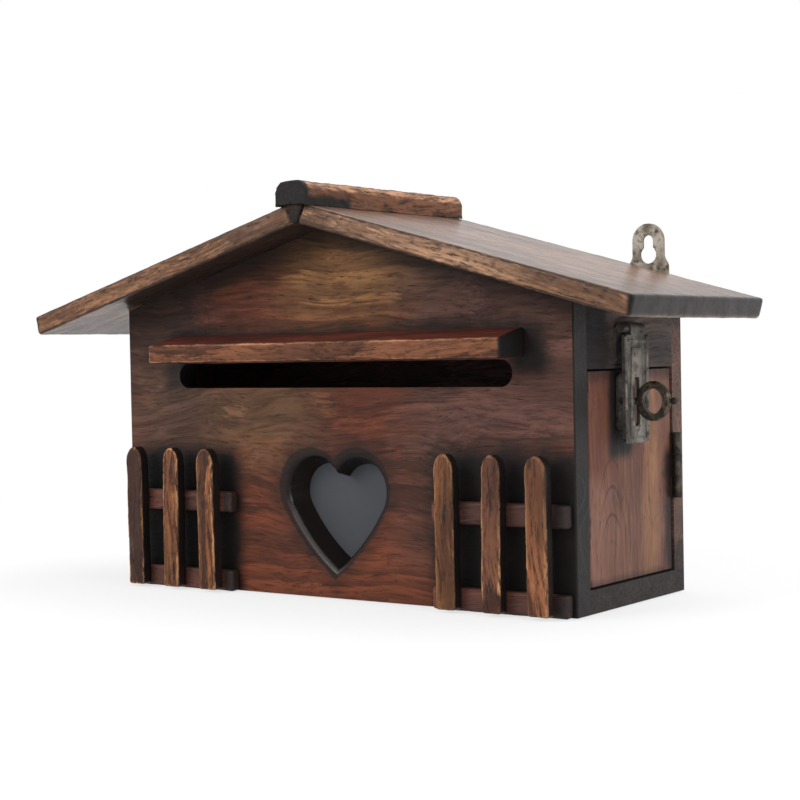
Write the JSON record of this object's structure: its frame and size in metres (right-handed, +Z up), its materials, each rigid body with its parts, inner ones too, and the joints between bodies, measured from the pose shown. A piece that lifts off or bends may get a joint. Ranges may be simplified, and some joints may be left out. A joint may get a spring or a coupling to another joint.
{
  "type": "letter box",
  "caption": "House-shaped wooden desk letter box with a letter slot under an awning, a heart window, picket fences, and a hinged side door with a hasp and turning ring.",
  "frame": {"origin": "middle of the box's footprint (walls, without roof and fences), on the underside of the base board", "axes": "+Z up, -Y is the front with the letter slot, +X is the side with the door"},
  "size_m": [0.3974, 0.1496, 0.223],
  "materials": {
    "carcase_wood": "torched, stained and lightly waxed",
    "door_wood": "torched, stained and lightly waxed",
    "roof_wood": "torched and varnished",
    "ridge_wood": "torched and varnished",
    "fence_wood": "chiselled face, torched edges",
    "awning_wood": "torched, stained and lightly waxed",
    "pane": "dark grey sheet, satin",
    "hasp_metal": "dark antiqued pressed steel",
    "ring_metal": "blackened",
    "hinge_metal": "blackened",
    "hanger_metal": "zinc plated, mottled",
    "steel": "plain steel"
  },
  "bodies": {
    "case": {"base_board": "carcase_wood", "front_panel": "carcase_wood", "back_panel": "carcase_wood", "left_side_panel": "carcase_wood", "right_top_board": "carcase_wood", "roof_panel_left": "roof_wood", "roof_panel_right": "roof_wood", "ridge_cap": "ridge_wood", "slot_awning": "awning_wood", "fence_left_rail_lower": "fence_wood", "fence_left_rail_upper": "fence_wood", "fence_left_picket_1": "fence_wood", "fence_left_picket_2": "fence_wood", "fence_left_picket_3": "fence_wood", "fence_right_rail_lower": "fence_wood", "fence_right_rail_upper": "fence_wood", "fence_right_picket_1": "fence_wood", "fence_right_picket_2": "fence_wood", "fence_right_picket_3": "fence_wood", "heart_pane": "pane", "pane_clips": "steel", "door_stop": "carcase_wood", "door_hinge_fixed_leaf": "hinge_metal", "door_hinge_pin": "hinge_metal", "door_hinge_fixed_screws": "hinge_metal", "hasp_leaf": "hasp_metal", "hasp_pin": "hasp_metal", "hasp_leaf_screws": "hasp_metal", "hanger_plate_left": "hanger_metal", "hanger_plate_right": "hanger_metal", "hanger_screws": "hanger_metal", "carcase_brads": "steel"},
    "door": {"door": "door_wood", "door_hinge_door_leaf": "hinge_metal", "door_hinge_door_screws": "hinge_metal", "ring_plate": "hasp_metal", "ring_plate_screws": "hasp_metal", "ring_washer": "hasp_metal"},
    "hasp_strap": {"hasp_strap": "hasp_metal"},
    "twist_ring": {"twist_ring": "ring_metal"}
  },
  "joints": [
    {"name": "door_swing", "type": "hinge", "parent": "case", "child": "door", "pos_m": [0.1528, 0.04625, 0.069], "axis": [0, 0, 1], "range_deg": [0, 110]},
    {"name": "hasp_lift", "type": "hinge", "parent": "door", "child": "hasp_strap", "pos_m": [0.1534, -0.0055, 0.1424], "axis": [0, -1, 0], "range_deg": [0, 85]},
    {"name": "ring_turn", "type": "hinge", "parent": "door", "child": "twist_ring", "pos_m": [0.149, -0.0055, 0.105], "axis": [1, 0, 0], "range_deg": [0, 90]}
  ]
}
